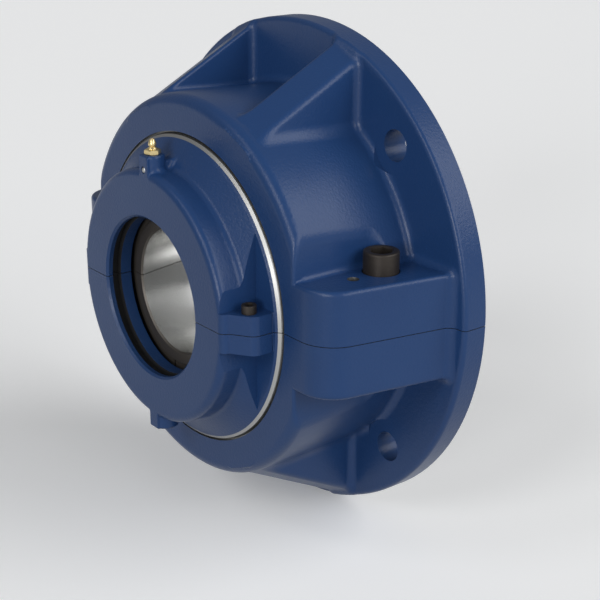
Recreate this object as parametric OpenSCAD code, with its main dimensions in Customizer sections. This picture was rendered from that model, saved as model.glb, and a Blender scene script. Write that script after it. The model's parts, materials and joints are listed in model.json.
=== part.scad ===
// Split roller bearing with a swivel cartridge in a split flanged housing.
// The shaft runs along Y, the nose points to -Y and the flange's back face to +Y.
// The origin is the bearing centre on the shaft axis. Every half meets its mate at z = 0.

/* [Shaft and inner race] */
// Diameter of the shaft that the inner race clamps
shaft_d = 90; // [80:1:94]
// Width of the inner race along the shaft
race_w = 88; // [84:1:96]
// Radius of the roller track on the inner race
inner_track_r = 59.5; // [57:0.5:61]
// Height of the lips that guide the roller ends
lip_h = 3.5; // [2.5:0.5:4]
// Width of each guiding lip on the inner race
inner_lip_w = 7.8; // [6:0.2:10]
// Radius of the seats that the clamping rings sit on
clamp_seat_r = 54.5; // [52:0.5:55.5]
// Slant of the inner race joints against the shaft axis, in degrees
joint_slant = 6.7; // [0:0.1:8]
// Turn of the inner race at rest, in degrees
race_turn = 6.6; // [0:0.1:15]
// Edge chamfer of the races
race_chamfer = 1.2; // [0.5:0.1:2]

/* [Rollers and cage] */
// Roller diameter
roller_d = 16; // [14:0.5:17]
// Roller length
roller_l = 24; // [18:1:26]
// Number of rollers, an even one
roller_count = 14; // [10:2:14]
// Edge chamfer of a roller
roller_chamfer = 0.8; // [0.4:0.1:1.5]
// Radial play between a roller and each track
roller_gap = 0.03; // [0.02:0.01:0.08]
// Play between a roller and its lips or its pocket
pocket_gap = 0.2; // [0.1:0.05:0.4]
// Radial play between the cage and the lips
cage_gap = 0.6; // [0.4:0.1:1]
// Width of each side rim of the cage
cage_rim_w = 5; // [3.5:0.5:6]
// Length of the clips that join the cage halves
clip_l = 17; // [12:1:18]
// Thickness of the clips
clip_t = 1.2; // [0.8:0.1:1.6]
// Radius of the pins of the clips
clip_pin_r = 1.2; // [0.8:0.1:1.4]

/* [Outer race] */
// Outer radius of the outer race
outer_race_r = 88.9; // [85:0.1:92]
// Width of the outer race
outer_race_w = 39; // [34:1:42]

/* [Clamping rings] */
// Width of a clamping ring
clamp_w = 18; // [16:0.5:20]
// Radial thickness of a clamping ring
clamp_wall = 17.5; // [15.5:0.5:19]
// Distance from the race's end face to the ring
clamp_setback = 2; // [1:0.5:3]
// Gap between the two halves of a clamping ring
clamp_split = 1.5; // [1:0.1:2.5]
// Thread diameter of the clamping ring screws
clamp_screw_d = 8; // [6:1:8]

/* [Cartridge] */
// Radius of the swivel sphere seat
sphere_r = 115; // [112:0.5:118]
// Length of the cartridge from nose face to nose face
cart_len = 132; // [124:1:140]
// Outer radius of the nose
nose_r = 90.6; // [88:0.2:93]
// Rounding of the nose's outer edge
nose_round = 5.5; // [3:0.5:7]
// Distance of the flare's root from the centre plane
flare_root_y = 47; // [45:0.5:49]
// Distance of the flare's shoulder from the centre plane
shoulder_y = 35.9; // [35:0.1:38]
// Radius of the flare at its shoulder
shoulder_r = 106.6; // [104:0.2:107]
// Distance of the machined band's inner edge from the centre plane
band_y = 33.1; // [31:0.1:34]
// Radius of the nose bore
nose_bore_r = 57.2; // [56:0.2:60]
// Depth of the front lip of the nose bore
nose_lip = 4.7; // [3:0.1:6]
// Width of the seal groove in the nose bore
seal_groove_w = 6.9; // [4:0.1:8]
// Depth of the seal groove
seal_groove_d = 5; // [3:0.5:7]
// Edge chamfer of the nose bore
mouth_chamfer = 1.6; // [0.8:0.1:2.5]
// Room between the clamping rings and the cavity round them
clamp_room = 4; // [2:0.5:6]
// Half length of the cavity
cavity_y = 45.9; // [45:0.1:49]
// Distance of the flat beside each ear from the shaft axis
notch_x = 86.1; // [84:0.1:88]

/* [Cartridge ears and bosses] */
// Half height of an ear
ear_h = 13.5; // [11:0.5:16]
// Distance of an ear's outer side from the shaft axis
ear_x = 105.7; // [104:0.1:108]
// Corner radius of an ear
ear_r = 8; // [6:0.5:9]
// Distance of the ear screw from the shaft axis
ear_screw_x = 96.3; // [95:0.1:98]
// Distance of the ear screw from the centre plane
ear_screw_y = 48.9; // [46:0.1:51]
// Slant of an ear's front against the nose face, in degrees
ear_slant = 38; // [30:1:45]
// Thread diameter of the ear screws
ear_screw_d = 6; // [5:1:6]
// Length of the ear screws under the head
ear_screw_l = 25; // [20:1:26]
// Radius of the grease boss
boss_r = 8; // [7:0.2:9]
// Height of the grease boss above the shaft axis
boss_top = 100; // [97:0.5:103]
// Width of the boss's flat front
boss_flat_w = 11; // [9:0.5:13]
// Half width of the rib behind the boss
boss_rib_r = 4.5; // [3:0.5:6]
// Height of that rib above the shaft axis
boss_rib_top = 98; // [95:0.5:100]
// Radius of the axial grease drilling
passage_r = 2; // [1.8:0.1:2.4]
// Radius of the grease drillings across it
cross_r = 1.5; // [1:0.1:1.7]
// Height of the axial drilling above the shaft axis
passage_z = 91.4; // [91:0.1:93]
// Diameter of the ball that plugs the drilling
plug_d = 5; // [4:0.1:6]
// Height of the ball above the nose face
plug_proud = 0.5; // [0:0.1:1]
// Thread radius of the grease nipple
nipple_r = 4; // [3:0.5:5]
// Length of the nipple's thread in the boss
nipple_l = 5.5; // [4:0.5:6]
// Width across the flats of the nipple's hexagon
nipple_af = 10; // [9:0.5:12]
// Radius of the cartridge dowels
cart_dowel_r = 3; // [2:0.5:4]
// Distance of the cartridge dowels from the shaft axis
cart_dowel_x = 102; // [99:0.5:105]
// Length of the cartridge dowels
cart_dowel_l = 16; // [10:1:20]

/* [Housing barrel and flange] */
// Distance of the housing's front face from the centre plane
face_y = 32.5; // [30:0.5:33]
// Distance of the flange's back face from the centre plane
back_y = 80.5; // [76:0.5:86]
// Outer radius of the front rim
rim_r = 137.8; // [135:0.2:142]
// Width of the front rim
rim_w = 10; // [8:0.5:14]
// Rounding of the rim's front edge
rim_round = 8; // [5:0.5:10]
// Outer radius of the barrel behind the rim
barrel_r = 135.5; // [133:0.5:137]
// Outer radius of the flange
flange_r = 182; // [176:1:190]
// Thickness of the flange
flange_t = 19; // [15:0.5:24]
// Rounding of the flange's front edge
flange_round = 3.6; // [2:0.2:6]
// Radius of the casting's fillets
cast_fillet = 8; // [5:0.5:10]
// Radius of the bore behind the swivel seat
rear_bore_r = 112; // [111:0.5:116]
// Radius of the register in the back face
register_r = 122; // [118:0.5:130]
// Depth of the register
register_d = 5; // [3:0.5:8]
// Radial play of the cartridge in its seat
swivel_gap = 0.05; // [0.03:0.01:0.09]
// Chamfer at the front edge of the seat
seat_chamfer = 0.6; // [0.3:0.1:1]

/* [Flange holes] */
// Diameter of the circle that the flange holes lie on
hole_pcd = 312; // [306:1:320]
// Diameter of a flange hole
hole_d = 22; // [18:0.5:26]
// Radius of the clearance cut round each hole
washer_cut_r = 20.4; // [18:0.2:20.4]
// Depth of the machined seat round each hole
washer_seat_d = 0.4; // [0.2:0.1:1]

/* [Ribs] */
// Distance of a rib's inner wall from the shaft's vertical plane
rib_in_x = 48.2; // [44:0.2:54]
// Thickness of a rib
rib_t = 23.5; // [18:0.5:28]
// Rounding of a rib's upper edges
rib_round = 7; // [3:0.5:8]
// Radius of the rib's top at the front rim
rib_foot_r = 137; // [136:0.1:137.4]
// Radius of the rib's top at the flange
rib_top_r = 177; // [172:0.2:177.6]

/* [Joint lugs] */
// Half height of the joint lugs
lug_h = 37; // [32:0.5:42]
// Distance of the lug's front corner from the shaft axis
lug_corner_x = 151.5; // [148:0.5:156]
// Radius of the lug's front corner
lug_corner_r = 26; // [18:0.5:30]
// Taper of the lug's side towards the flange, in degrees
lug_taper = 11; // [6:0.5:12]
// Fillet between the lug's side and the flange
lug_fillet = 5; // [3:0.5:6]
// Distance of the housing screw from the shaft axis
lug_screw_x = 136.7; // [135:0.1:140]
// Distance of the housing screw behind the centre plane
lug_screw_y = 28; // [20:0.5:32]
// Thread diameter of the housing screws
lug_screw_d = 16; // [12:1:16]
// Length of the housing screws under the head
lug_screw_l = 68; // [50:1:70]
// Depth of the seat under the screw head
lug_spot_depth = 1.6; // [0.5:0.1:3]
// Distance of the screw pocket's wall from the shaft axis
pocket_x = 122; // [119:0.5:124]
// Distance of the housing dowel from the shaft axis
lug_dowel_x = 138; // [136:0.5:141]
// Distance of the housing dowel behind the centre plane
lug_dowel_y = 3.3; // [0:0.1:6]
// Radius of the housing dowel
lug_dowel_r = 4; // [3:0.5:5]
// Length of the housing dowel
lug_dowel_l = 34; // [24:1:44]

/* [Hidden] */
$fn = 96;

eps = 0.01;
big = 400;
// Play of a screw in its tapped hole and of a dowel in its bore
thread_gap = 0.02;
// Play of a screw in its clearance hole
shank_gap = 0.5;
// Play round a screw head in its counterbore
head_gap = 0.3;

shaft_r = shaft_d / 2;
race_y = race_w / 2;
roller_r = roller_d / 2;
pitch_r = inner_track_r + roller_gap + roller_r;
outer_track_r = pitch_r + roller_r + roller_gap;
lip_y = roller_l / 2 + pocket_gap;
cage_in_r = inner_track_r + lip_h + cage_gap;
cage_out_r = outer_track_r - lip_h - cage_gap;
cage_y = lip_y + cage_rim_w;
pin_l = 0.7 * cage_rim_w;
roller_step = 360 / roller_count;
nose_y = cart_len / 2;
cart_sphere_r = sphere_r - swivel_gap;
flange_y = back_y - flange_t;
rib_mid_x = rib_in_x + rib_t / 2;
rib_start_y = rim_w - face_y;
boss_y = boss_r - nose_y;
plug_r = plug_d / 2;
clamp_y = race_y - clamp_setback - clamp_w / 2;
clamp_r = clamp_seat_r + clamp_wall;
cavity_r = clamp_r + clamp_room;
clamp_screw_z = (clamp_seat_r + clamp_r) / 2;
clamp_head_x = clamp_screw_d * 1.75;
hole_r = hole_d / 2;
hole_ring_r = hole_pcd / 2;
seat_mouth_r = sqrt(sphere_r * sphere_r - face_y * face_y);
band_r = sqrt(cart_sphere_r * cart_sphere_r - band_y * band_y);
lug_spot_z = lug_h - lug_spot_depth;

// Bodies of revolution about the shaft axis: a profile holds radius and distance along the shaft
module turn_y() rotate([-90, 0, 0]) rotate_extrude($fn = 180) children();
module cyl_y(r, y0, y1) translate([0, y0, 0]) rotate([-90, 0, 0]) cylinder(r = r, h = y1 - y0);
module cyl_x(r, x0, x1) translate([x0, 0, 0]) rotate([0, 90, 0]) cylinder(r = r, h = x1 - x0);
module above_joint() intersection() {
    children();
    translate([-big / 2, -big / 2, 0]) cube([big, big, big / 2]);
}
module both_sides() {
    children();
    mirror([1, 0, 0]) children();
}
module both_ends() {
    children();
    mirror([0, 1, 0]) children();
}
module swap_half() mirror([0, 0, 1]) children();

// Radius of a socket head for its thread diameter, as in the metric series
function cap_r(d) = 0.7 * d + 0.8;

// Socket head cap screw along Z: the underside of its head at z = 0, its shank below
module cap_screw(d, shank_l) difference() {
    rim = 0.08 * d;
    socket_z = 0.45 * d;
    union() {
        translate([0, 0, -shank_l]) cylinder(d = d, h = shank_l + eps);
        cylinder(r = cap_r(d), h = d - rim);
        translate([0, 0, d - rim - eps]) cylinder(r1 = cap_r(d), r2 = cap_r(d) - rim, h = rim + eps);
    }
    translate([0, 0, socket_z]) cylinder(d = d, h = d, $fn = 6);
}

// Housing

// Profile of the casting: rounded front rim, barrel, fillet and flange
module housing_profile() {
    step = rim_r - barrel_r;
    translate([0, -face_y]) square([rim_r - rim_round, rim_w]);
    translate([0, rim_round - face_y]) square([rim_r, rim_w - rim_round]);
    translate([rim_r - rim_round, rim_round - face_y]) circle(r = rim_round);
    polygon([[0, rib_start_y - eps], [rim_r, rib_start_y - eps], [rim_r, rib_start_y],
        [barrel_r, rib_start_y + step], [barrel_r, flange_y + eps], [0, flange_y + eps]]);
    translate([barrel_r - eps, flange_y - cast_fillet]) difference() {
        square([cast_fillet, cast_fillet + eps]);
        translate([cast_fillet, 0]) circle(r = cast_fillet);
    }
    translate([0, flange_y]) square([flange_r - flange_round, flange_t]);
    translate([0, flange_y + flange_round]) square([flange_r, flange_t - flange_round]);
    translate([flange_r - flange_round, flange_y + flange_round]) circle(r = flange_round);
}

// Outline of one joint lug, seen from above, with its fillet at the flange
module lug_outline() difference() {
    reach = lug_corner_r * tan((90 - lug_taper) / 2);
    centre = [lug_corner_x - reach, lug_corner_r - face_y];
    outwards = [cos(lug_taper), -sin(lug_taper)];
    foot_y = flange_y - lug_fillet;
    foot = [lug_corner_x + (foot_y + face_y) * tan(lug_taper) + lug_fillet / cos(lug_taper), foot_y];
    union() {
        polygon([[0, -face_y], [centre.x, -face_y], centre, centre + lug_corner_r * outwards,
            foot - lug_fillet * outwards, foot, [foot.x, flange_y + eps], [0, flange_y + eps]]);
        translate(centre) circle(r = lug_corner_r);
    }
    translate(foot) circle(r = lug_fillet);
}

// Pocket beside the barrel that frees the housing screw, with a flat wall and a round end
module screw_pocket() translate([0, 0, lug_h]) {
    translate([pocket_x, -big / 2, 0]) cube([big / 2, big / 2 + lug_screw_y, big / 2]);
    translate([lug_screw_x, lug_screw_y, 0]) cylinder(r = lug_screw_x - pocket_x, h = big / 2);
}

// Section of a rib across its slope: upright walls, a top that falls outwards, round edges
module rib_section(depth, tilt) {
    half = rib_t / 2;
    drop = rib_round / cos(tilt);
    lift = (half - rib_round) * tan(tilt);
    inner = [rib_round - half, lift - drop];
    outer = [half - rib_round, -lift - drop];
    up = rib_round * [sin(tilt), cos(tilt)];
    polygon([[-half, -depth], [-half, inner.y], inner, inner + up,
        outer + up, outer, [half, outer.y], [half, -depth]]);
    translate(inner) circle(r = rib_round + eps);
    translate(outer) circle(r = rib_round + eps);
}

// Rib that rises from the front rim to the flange
module rib() {
    z0 = sqrt(rib_foot_r * rib_foot_r - rib_mid_x * rib_mid_x);
    z1 = sqrt(rib_top_r * rib_top_r - rib_mid_x * rib_mid_x);
    run = flange_y - rib_start_y;
    slope = atan((z1 - z0) / run);
    tilt = asin(2 * rib_mid_x / (rib_foot_r + rib_top_r));
    lead = rim_w / 2;
    length = (run + flange_t / 2 + lead) / cos(slope);
    intersection() {
        translate([rib_mid_x, rib_start_y, z0]) rotate([slope, 0, 0]) translate([0, -lead, 0])
            rotate([90, 0, 0]) translate([0, 0, -length]) linear_extrude(length) rib_section(z1, tilt);
        translate([0, -face_y + lead, 0]) cube([big / 2, face_y + back_y - 1.5 * lead, big / 2]);
    }
}

// Concave corner along Z between a wall that faces +X and the flange's front face
module upright_fillet(h) linear_extrude(h) difference() {
    translate([-eps, -cast_fillet]) square([cast_fillet + eps, cast_fillet + eps]);
    translate([cast_fillet, -cast_fillet]) circle(r = cast_fillet);
}

// Fillets between the two walls of a rib and the flange, no higher than the rib's top
module rib_fillets() {
    top = sqrt(rib_top_r * rib_top_r - pow(rib_mid_x + rib_t / 2, 2)) - rib_round;
    translate([rib_mid_x + rib_t / 2, flange_y, 0]) upright_fillet(top);
    translate([rib_mid_x - rib_t / 2, flange_y, 0]) mirror([1, 0, 0])
        upright_fillet(top + rib_round / 2);
}

// Places of the two flange holes of the upper half
module at_flange_holes() for (a = [45, 135])
    rotate([0, -a, 0]) translate([hole_ring_r, 0, 0]) children();

// Upper casting before its joint holes are drilled
module half_casting() above_joint() difference() {
    union() {
        turn_y() housing_profile();
        both_sides() rib();
        both_sides() rib_fillets();
        both_sides() linear_extrude(lug_h) lug_outline();
    }
    both_sides() screw_pocket();
    sphere(r = sphere_r, $fn = 180);
    cyl_y(rear_bore_r, 0, back_y + eps, $fn = 180);
    cyl_y(register_r, back_y - register_d, back_y + eps, $fn = 180);
    translate([0, -face_y - eps, 0]) rotate([-90, 0, 0])
        cylinder(r1 = seat_mouth_r + seat_chamfer + eps, r2 = seat_mouth_r, h = seat_chamfer + eps,
            $fn = 180);
    at_flange_holes() cyl_y(hole_r, 0, back_y + eps);
    at_flange_holes() cyl_y(washer_cut_r, flange_y - 2 * cast_fillet, flange_y + washer_seat_d);
}

module housing_upper() color("steelblue") difference() {
    half_casting();
    both_sides() translate([lug_screw_x, lug_screw_y, 0]) {
        translate([0, 0, -eps]) cylinder(d = lug_screw_d + 2 * shank_gap, h = lug_h);
        translate([0, 0, lug_spot_z]) cylinder(r = cap_r(lug_screw_d) + head_gap, h = big);
    }
    both_sides() translate([lug_dowel_x, lug_dowel_y, -eps])
        cylinder(r = lug_dowel_r + thread_gap, h = big);
}
module housing_lower() color("steelblue") difference() {
    swap_half() half_casting();
    both_sides() translate([lug_screw_x, lug_screw_y, -lug_h - eps])
        cylinder(d = lug_screw_d + 2 * thread_gap, h = big);
    both_sides() translate([lug_dowel_x, lug_dowel_y, -lug_dowel_l / 2])
        cylinder(r = lug_dowel_r + thread_gap, h = lug_h);
}
module housing_screws() color("dimgray") both_sides()
    translate([lug_screw_x, lug_screw_y, lug_spot_z]) cap_screw(lug_screw_d, lug_screw_l);
module housing_dowels() color("silver") both_sides()
    translate([lug_dowel_x, lug_dowel_y, -lug_dowel_l / 2]) cylinder(r = lug_dowel_r, h = lug_dowel_l);

// Cartridge

// Profile of the cartridge's nose, flare and machined band, the same at both ends
module cartridge_profile() both_ends_2d() {
    square([nose_r - nose_round, nose_y]);
    square([nose_r, nose_y - nose_round]);
    translate([nose_r - nose_round, nose_y - nose_round]) circle(r = nose_round);
    polygon([[0, 0], [0, flare_root_y], [nose_r, flare_root_y], [shoulder_r, shoulder_y],
        [band_r, band_y], [band_r, 0]]);
}
module both_ends_2d() {
    children();
    mirror([0, 1]) children();
}
// Profile of the hollow: mouth chamfer, lip, seal groove, land, cavity and outer race seat
module cartridge_hollow() both_ends_2d() {
    groove_y = nose_y - nose_lip;
    square([nose_bore_r, nose_y + eps]);
    polygon([[0, nose_y - mouth_chamfer], [nose_bore_r, nose_y - mouth_chamfer],
        [nose_bore_r + mouth_chamfer + eps, nose_y + eps], [0, nose_y + eps]]);
    translate([0, groove_y - seal_groove_w]) square([nose_bore_r + seal_groove_d, seal_groove_w]);
    square([cavity_r, cavity_y]);
    square([outer_race_r, outer_race_w / 2]);
}
// Outline of one ear, seen from above: its front runs slanting back from the nose face
module ear_outline() {
    front_x = nose_r - nose_round * sin(45);
    centre_x = ear_x - ear_r;
    centre_y = (centre_x - front_x) * tan(ear_slant) - nose_y + ear_r / cos(ear_slant);
    centre = [centre_x, centre_y];
    polygon([[cavity_r, -nose_y + nose_round], [front_x - nose_round, -nose_y + nose_round],
        [front_x, -nose_y], centre + ear_r * [sin(ear_slant), -cos(ear_slant)], centre, [ear_x, centre.y],
        [ear_x, -band_y], [cavity_r, -band_y]]);
    translate(centre) circle(r = ear_r);
}
// Flats cut beside the ears for the screw heads and the key
module ear_notch() translate([notch_x, -nose_y - eps, -big / 2])
    cube([big / 2, nose_y - shoulder_y + eps, big]);
// Boss for the grease nipple, flush with the nose face, with a rib back to the flare
module grease_boss(top) {
    translate([0, boss_y, cavity_r]) cylinder(r = boss_r, h = top - cavity_r);
    translate([-boss_flat_w / 2, -nose_y, cavity_r])
        cube([boss_flat_w, boss_r, top - cavity_r]);
    translate([0, boss_y, 0]) rotate([-90, 0, 0])
        translate([0, boss_rib_r - boss_rib_top, 0]) cylinder(r = boss_rib_r, h = -boss_y - band_y);
    translate([-boss_rib_r, boss_y, cavity_r])
        cube([2 * boss_rib_r, -boss_y - band_y, boss_rib_top - boss_rib_r - cavity_r]);
}
// Upper casting of the cartridge before its holes are drilled
module half_cartridge(top) above_joint() difference() {
    union() {
        difference() {
            turn_y() cartridge_profile();
            both_ends() both_sides() ear_notch();
        }
        intersection() {
            sphere(r = cart_sphere_r, $fn = 180);
            cyl_y(cart_sphere_r, -band_y, band_y);
        }
        both_ends() both_sides() linear_extrude(ear_h) ear_outline();
        grease_boss(top);
    }
    turn_y() cartridge_hollow();
}
module at_ear_screws() both_ends() both_sides() translate([ear_screw_x, -ear_screw_y, 0]) children();
module cartridge_dowel_holes() both_sides() translate([cart_dowel_x, 0, -cart_dowel_l / 2 - eps])
    cylinder(r = cart_dowel_r + thread_gap, h = cart_dowel_l + 2 * eps);

module cartridge_upper() color("steelblue") difference() {
    half_cartridge(boss_top);
    at_ear_screws() {
        translate([0, 0, -eps]) cylinder(d = ear_screw_d + 2 * shank_gap, h = big);
        translate([0, 0, ear_h]) cylinder(r = cap_r(ear_screw_d) + head_gap, h = big);
    }
    cartridge_dowel_holes();
    translate([0, boss_y, boss_top - nipple_l]) cylinder(r = nipple_r + thread_gap, h = big);
    translate([0, boss_y, passage_z]) cylinder(r = cross_r, h = boss_top - passage_z);
    translate([0, 0, passage_z]) cyl_y(passage_r, -nose_y - eps, passage_r);
    translate([0, 0, passage_z]) cyl_y(plug_r + thread_gap, -nose_y - eps, -nose_y + plug_d);
    translate([0, 0, outer_race_r - 1]) cylinder(r = cross_r, h = passage_z - outer_race_r + 1);
}
module cartridge_lower() color("steelblue") difference() {
    swap_half() half_cartridge(boss_rib_top);
    at_ear_screws() translate([0, 0, -ear_h - eps]) cylinder(d = ear_screw_d + 2 * thread_gap, h = big);
    cartridge_dowel_holes();
}
module cartridge_screws() color("dimgray") at_ear_screws()
    translate([0, 0, ear_h]) cap_screw(ear_screw_d, ear_screw_l);
module cartridge_dowels() color("silver") both_sides()
    translate([cart_dowel_x, 0, -cart_dowel_l / 2]) cylinder(r = cart_dowel_r, h = cart_dowel_l);

// Nipple: stub, hexagon, collar, neck and a round head with a flat mouth
module grease_nipple() color("goldenrod") translate([0, boss_y, boss_top]) {
    hex_h = 0.4 * nipple_af;
    head_r = 0.29 * nipple_af;
    neck_r = 0.22 * nipple_af;
    translate([0, 0, -nipple_l]) cylinder(r = nipple_r, h = nipple_l + eps);
    cylinder(r = nipple_af / sqrt(3), h = hex_h, $fn = 6);
    translate([0, 0, hex_h - eps]) cylinder(r1 = 0.42 * nipple_af, r2 = neck_r, h = 0.2 * nipple_af);
    cylinder(r = neck_r, h = hex_h + 2 * head_r);
    intersection() {
        translate([0, 0, hex_h + 2 * head_r]) sphere(r = head_r);
        cylinder(r = head_r, h = hex_h + 2.7 * head_r);
    }
}
module passage_ball() color("white")
    translate([0, plug_r - plug_proud - nose_y, passage_z]) sphere(r = plug_r);

// Races

module outer_race() difference() {
    half_w = outer_race_w / 2;
    turn_y() difference() {
        translate([0, -half_w]) square([outer_race_r, outer_race_w]);
        translate([0, -half_w - eps]) square([outer_track_r - lip_h, outer_race_w + 2 * eps]);
        translate([0, -lip_y]) square([outer_track_r, 2 * lip_y]);
        both_ends_2d() polygon([[outer_race_r - race_chamfer, half_w + eps],
            [outer_race_r + eps, half_w + eps], [outer_race_r + eps, half_w - race_chamfer]]);
    }
    translate([0, 0, outer_track_r - lip_h]) cylinder(r = cross_r, h = outer_race_r);
}
module outer_race_upper() color("gainsboro") above_joint() outer_race();
module outer_race_lower() color("gainsboro") swap_half() above_joint() swap_half() outer_race();

module inner_race() turn_y() difference() {
    union() {
        translate([0, -race_y]) square([clamp_seat_r, race_w]);
        translate([0, -lip_y - inner_lip_w]) square([inner_track_r + lip_h, 2 * (lip_y + inner_lip_w)]);
    }
    translate([0, -race_y - eps]) square([shaft_r, race_w + 2 * eps]);
    both_ends_2d() {
        translate([inner_track_r, -eps]) square([lip_h + eps, lip_y + eps]);
        polygon([[clamp_seat_r - race_chamfer, race_y + eps], [clamp_seat_r + eps, race_y + eps],
            [clamp_seat_r + eps, race_y - race_chamfer]]);
        polygon([[shaft_r - eps, race_y + eps], [shaft_r + race_chamfer, race_y + eps],
            [shaft_r - eps, race_y - race_chamfer]]);
    }
}
// Half of the inner race on one side of its slanted joint
module inner_race_half(side) rotate([0, race_turn, 0]) intersection() {
    inner_race();
    rotate([joint_slant, 0, 0]) translate([-big / 2, -big / 2, side > 0 ? 0 : -big / 2])
        cube([big, big, big / 2]);
}
module inner_race_upper() color("lightgray") inner_race_half(1);
module inner_race_lower() color("lightgray") inner_race_half(-1);

// Clamping rings

// Right half of a ring: screw head in the upper end, tapped hole in the lower end
module clamp_ring_half() intersection() {
    difference() {
        turn_y() difference() {
            translate([clamp_seat_r + thread_gap, -clamp_w / 2]) square([clamp_r - clamp_seat_r, clamp_w]);
            both_ends_2d() polygon([[clamp_r - race_chamfer, clamp_w / 2 + eps],
                [clamp_r + 1, clamp_w / 2 + eps], [clamp_r + 1, clamp_w / 2 - race_chamfer - 1]]);
        }
        translate([0, 0, clamp_screw_z]) {
            cyl_x(clamp_screw_d / 2 + shank_gap, 0, clamp_head_x + eps);
            cyl_x(cap_r(clamp_screw_d) + head_gap, clamp_head_x, big);
        }
        translate([0, 0, -clamp_screw_z]) cyl_x(clamp_screw_d / 2 + thread_gap, 0, 2.4 * clamp_screw_d);
    }
    translate([clamp_split / 2, -big / 2, -big / 2]) cube(big);
}
module clamp_right(end) rotate([0, race_turn, 0]) translate([0, end * clamp_y, 0]) clamp_ring_half();
module clamp_left(end) rotate([0, race_turn + 180, 0]) translate([0, end * clamp_y, 0]) clamp_ring_half();
module clamp_ring_front_left() color("dimgray") clamp_left(-1);
module clamp_ring_front_right() color("dimgray") clamp_right(-1);
module clamp_ring_rear_left() color("dimgray") clamp_left(1);
module clamp_ring_rear_right() color("dimgray") clamp_right(1);
module clamp_screws() color("gray") for (end = [-1, 1], turn = [0, 180])
    rotate([0, race_turn + turn, 0]) translate([clamp_head_x, end * clamp_y, clamp_screw_z])
        rotate([0, 90, 0]) cap_screw(clamp_screw_d, 2 * clamp_head_x);

// Rollers and cage

module at_roller(i) rotate([0, -(i - 0.5) * roller_step, 0]) translate([pitch_r, 0, 0]) children();
module roller(i) color("silver") at_roller(i) turn_y() {
    half_l = roller_l / 2;
    polygon([[0, -half_l], [roller_r - roller_chamfer, -half_l], [roller_r, roller_chamfer - half_l],
        [roller_r, half_l - roller_chamfer], [roller_r - roller_chamfer, half_l], [0, half_l]]);
}
module at_clips() both_ends() both_sides()
    translate([(cage_in_r + cage_out_r) / 2, cage_y, 0]) children();
module at_clip_pins() at_clips() for (side = [-1, 1]) translate([0, 0, side * clip_l / 3]) children();
module cage_half() above_joint() difference() {
    turn_y() translate([cage_in_r, -cage_y]) square([cage_out_r - cage_in_r, 2 * cage_y]);
    for (i = [1 : roller_count]) at_roller(i) cyl_y(roller_r + pocket_gap, -lip_y, lip_y);
    at_clip_pins() cyl_y(clip_pin_r + thread_gap, -pin_l - eps, 1);
}
module cage_upper() color("darkgoldenrod") cage_half();
module cage_lower() color("darkgoldenrod") swap_half() cage_half();
module cage_clips() color("silver") {
    width = 0.6 * (cage_out_r - cage_in_r);
    at_clips() translate([-width / 2, 0, -clip_l / 2]) cube([width, clip_t, clip_l]);
    at_clip_pins() cyl_y(clip_pin_r, -pin_l, eps);
}

housing_upper();
housing_lower();
housing_screws();
housing_dowels();
cartridge_upper();
cartridge_lower();
cartridge_screws();
cartridge_dowels();
grease_nipple();
passage_ball();
outer_race_upper();
outer_race_lower();
inner_race_upper();
inner_race_lower();
clamp_ring_front_left();
clamp_ring_front_right();
clamp_ring_rear_left();
clamp_ring_rear_right();
clamp_screws();
cage_upper();
cage_lower();
cage_clips();
for (i = [1 : roller_count])
    roller(i);
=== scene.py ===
"""Dresses a split roller bearing: its painted castings, screws, nipple, races and finishes."""
import json
from math import asin, atan2, cos, pi, radians, sin, sqrt, tan

import bpy
import numpy as np
from bpy.props import FloatProperty, FloatVectorProperty, IntProperty, PointerProperty
from mathutils import Matrix, Vector


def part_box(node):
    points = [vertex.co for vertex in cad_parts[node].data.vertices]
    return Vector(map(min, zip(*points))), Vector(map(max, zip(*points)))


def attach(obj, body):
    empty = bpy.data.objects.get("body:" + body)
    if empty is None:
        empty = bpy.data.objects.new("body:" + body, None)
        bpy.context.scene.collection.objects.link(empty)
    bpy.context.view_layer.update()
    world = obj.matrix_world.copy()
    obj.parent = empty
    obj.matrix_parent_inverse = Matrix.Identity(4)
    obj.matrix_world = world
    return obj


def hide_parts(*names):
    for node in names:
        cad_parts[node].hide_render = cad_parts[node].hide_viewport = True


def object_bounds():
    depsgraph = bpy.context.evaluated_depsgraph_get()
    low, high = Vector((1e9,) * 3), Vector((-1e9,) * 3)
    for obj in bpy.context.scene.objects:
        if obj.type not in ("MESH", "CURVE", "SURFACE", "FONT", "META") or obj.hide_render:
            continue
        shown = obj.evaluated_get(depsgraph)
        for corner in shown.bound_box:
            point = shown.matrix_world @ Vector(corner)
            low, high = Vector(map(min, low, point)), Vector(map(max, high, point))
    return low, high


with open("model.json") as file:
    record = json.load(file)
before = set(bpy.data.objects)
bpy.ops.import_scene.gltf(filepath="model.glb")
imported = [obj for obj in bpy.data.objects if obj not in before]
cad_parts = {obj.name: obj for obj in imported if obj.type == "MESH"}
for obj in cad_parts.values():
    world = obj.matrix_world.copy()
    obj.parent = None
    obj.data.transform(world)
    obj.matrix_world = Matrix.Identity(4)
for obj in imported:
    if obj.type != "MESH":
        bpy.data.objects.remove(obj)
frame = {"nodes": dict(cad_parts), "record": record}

bl_info = {
    "name": "Split Roller Bearing",
    "version": (1, 0, 0),
    "blender": (4, 5, 0),
    "location": "View3D > Sidebar > Bearing",
    "description": "Builds the castings, screws and finishes of a split roller bearing",
    "category": "Add Mesh",
}

MM = 0.001
CAD_BOX = [list(corner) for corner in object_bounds()]
HOUSING_LOW, HOUSING_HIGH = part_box("housing_upper")
CARTRIDGE_LOW, CARTRIDGE_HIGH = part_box("cartridge_upper")
RACE_LOW, RACE_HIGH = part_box("inner_race_upper")


def mm(name, description, millimetres):
    """A size in metres, written in millimetres."""
    return FloatProperty(name=name, description=description, default=millimetres * MM,
                         unit="LENGTH", precision=4)


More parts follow.
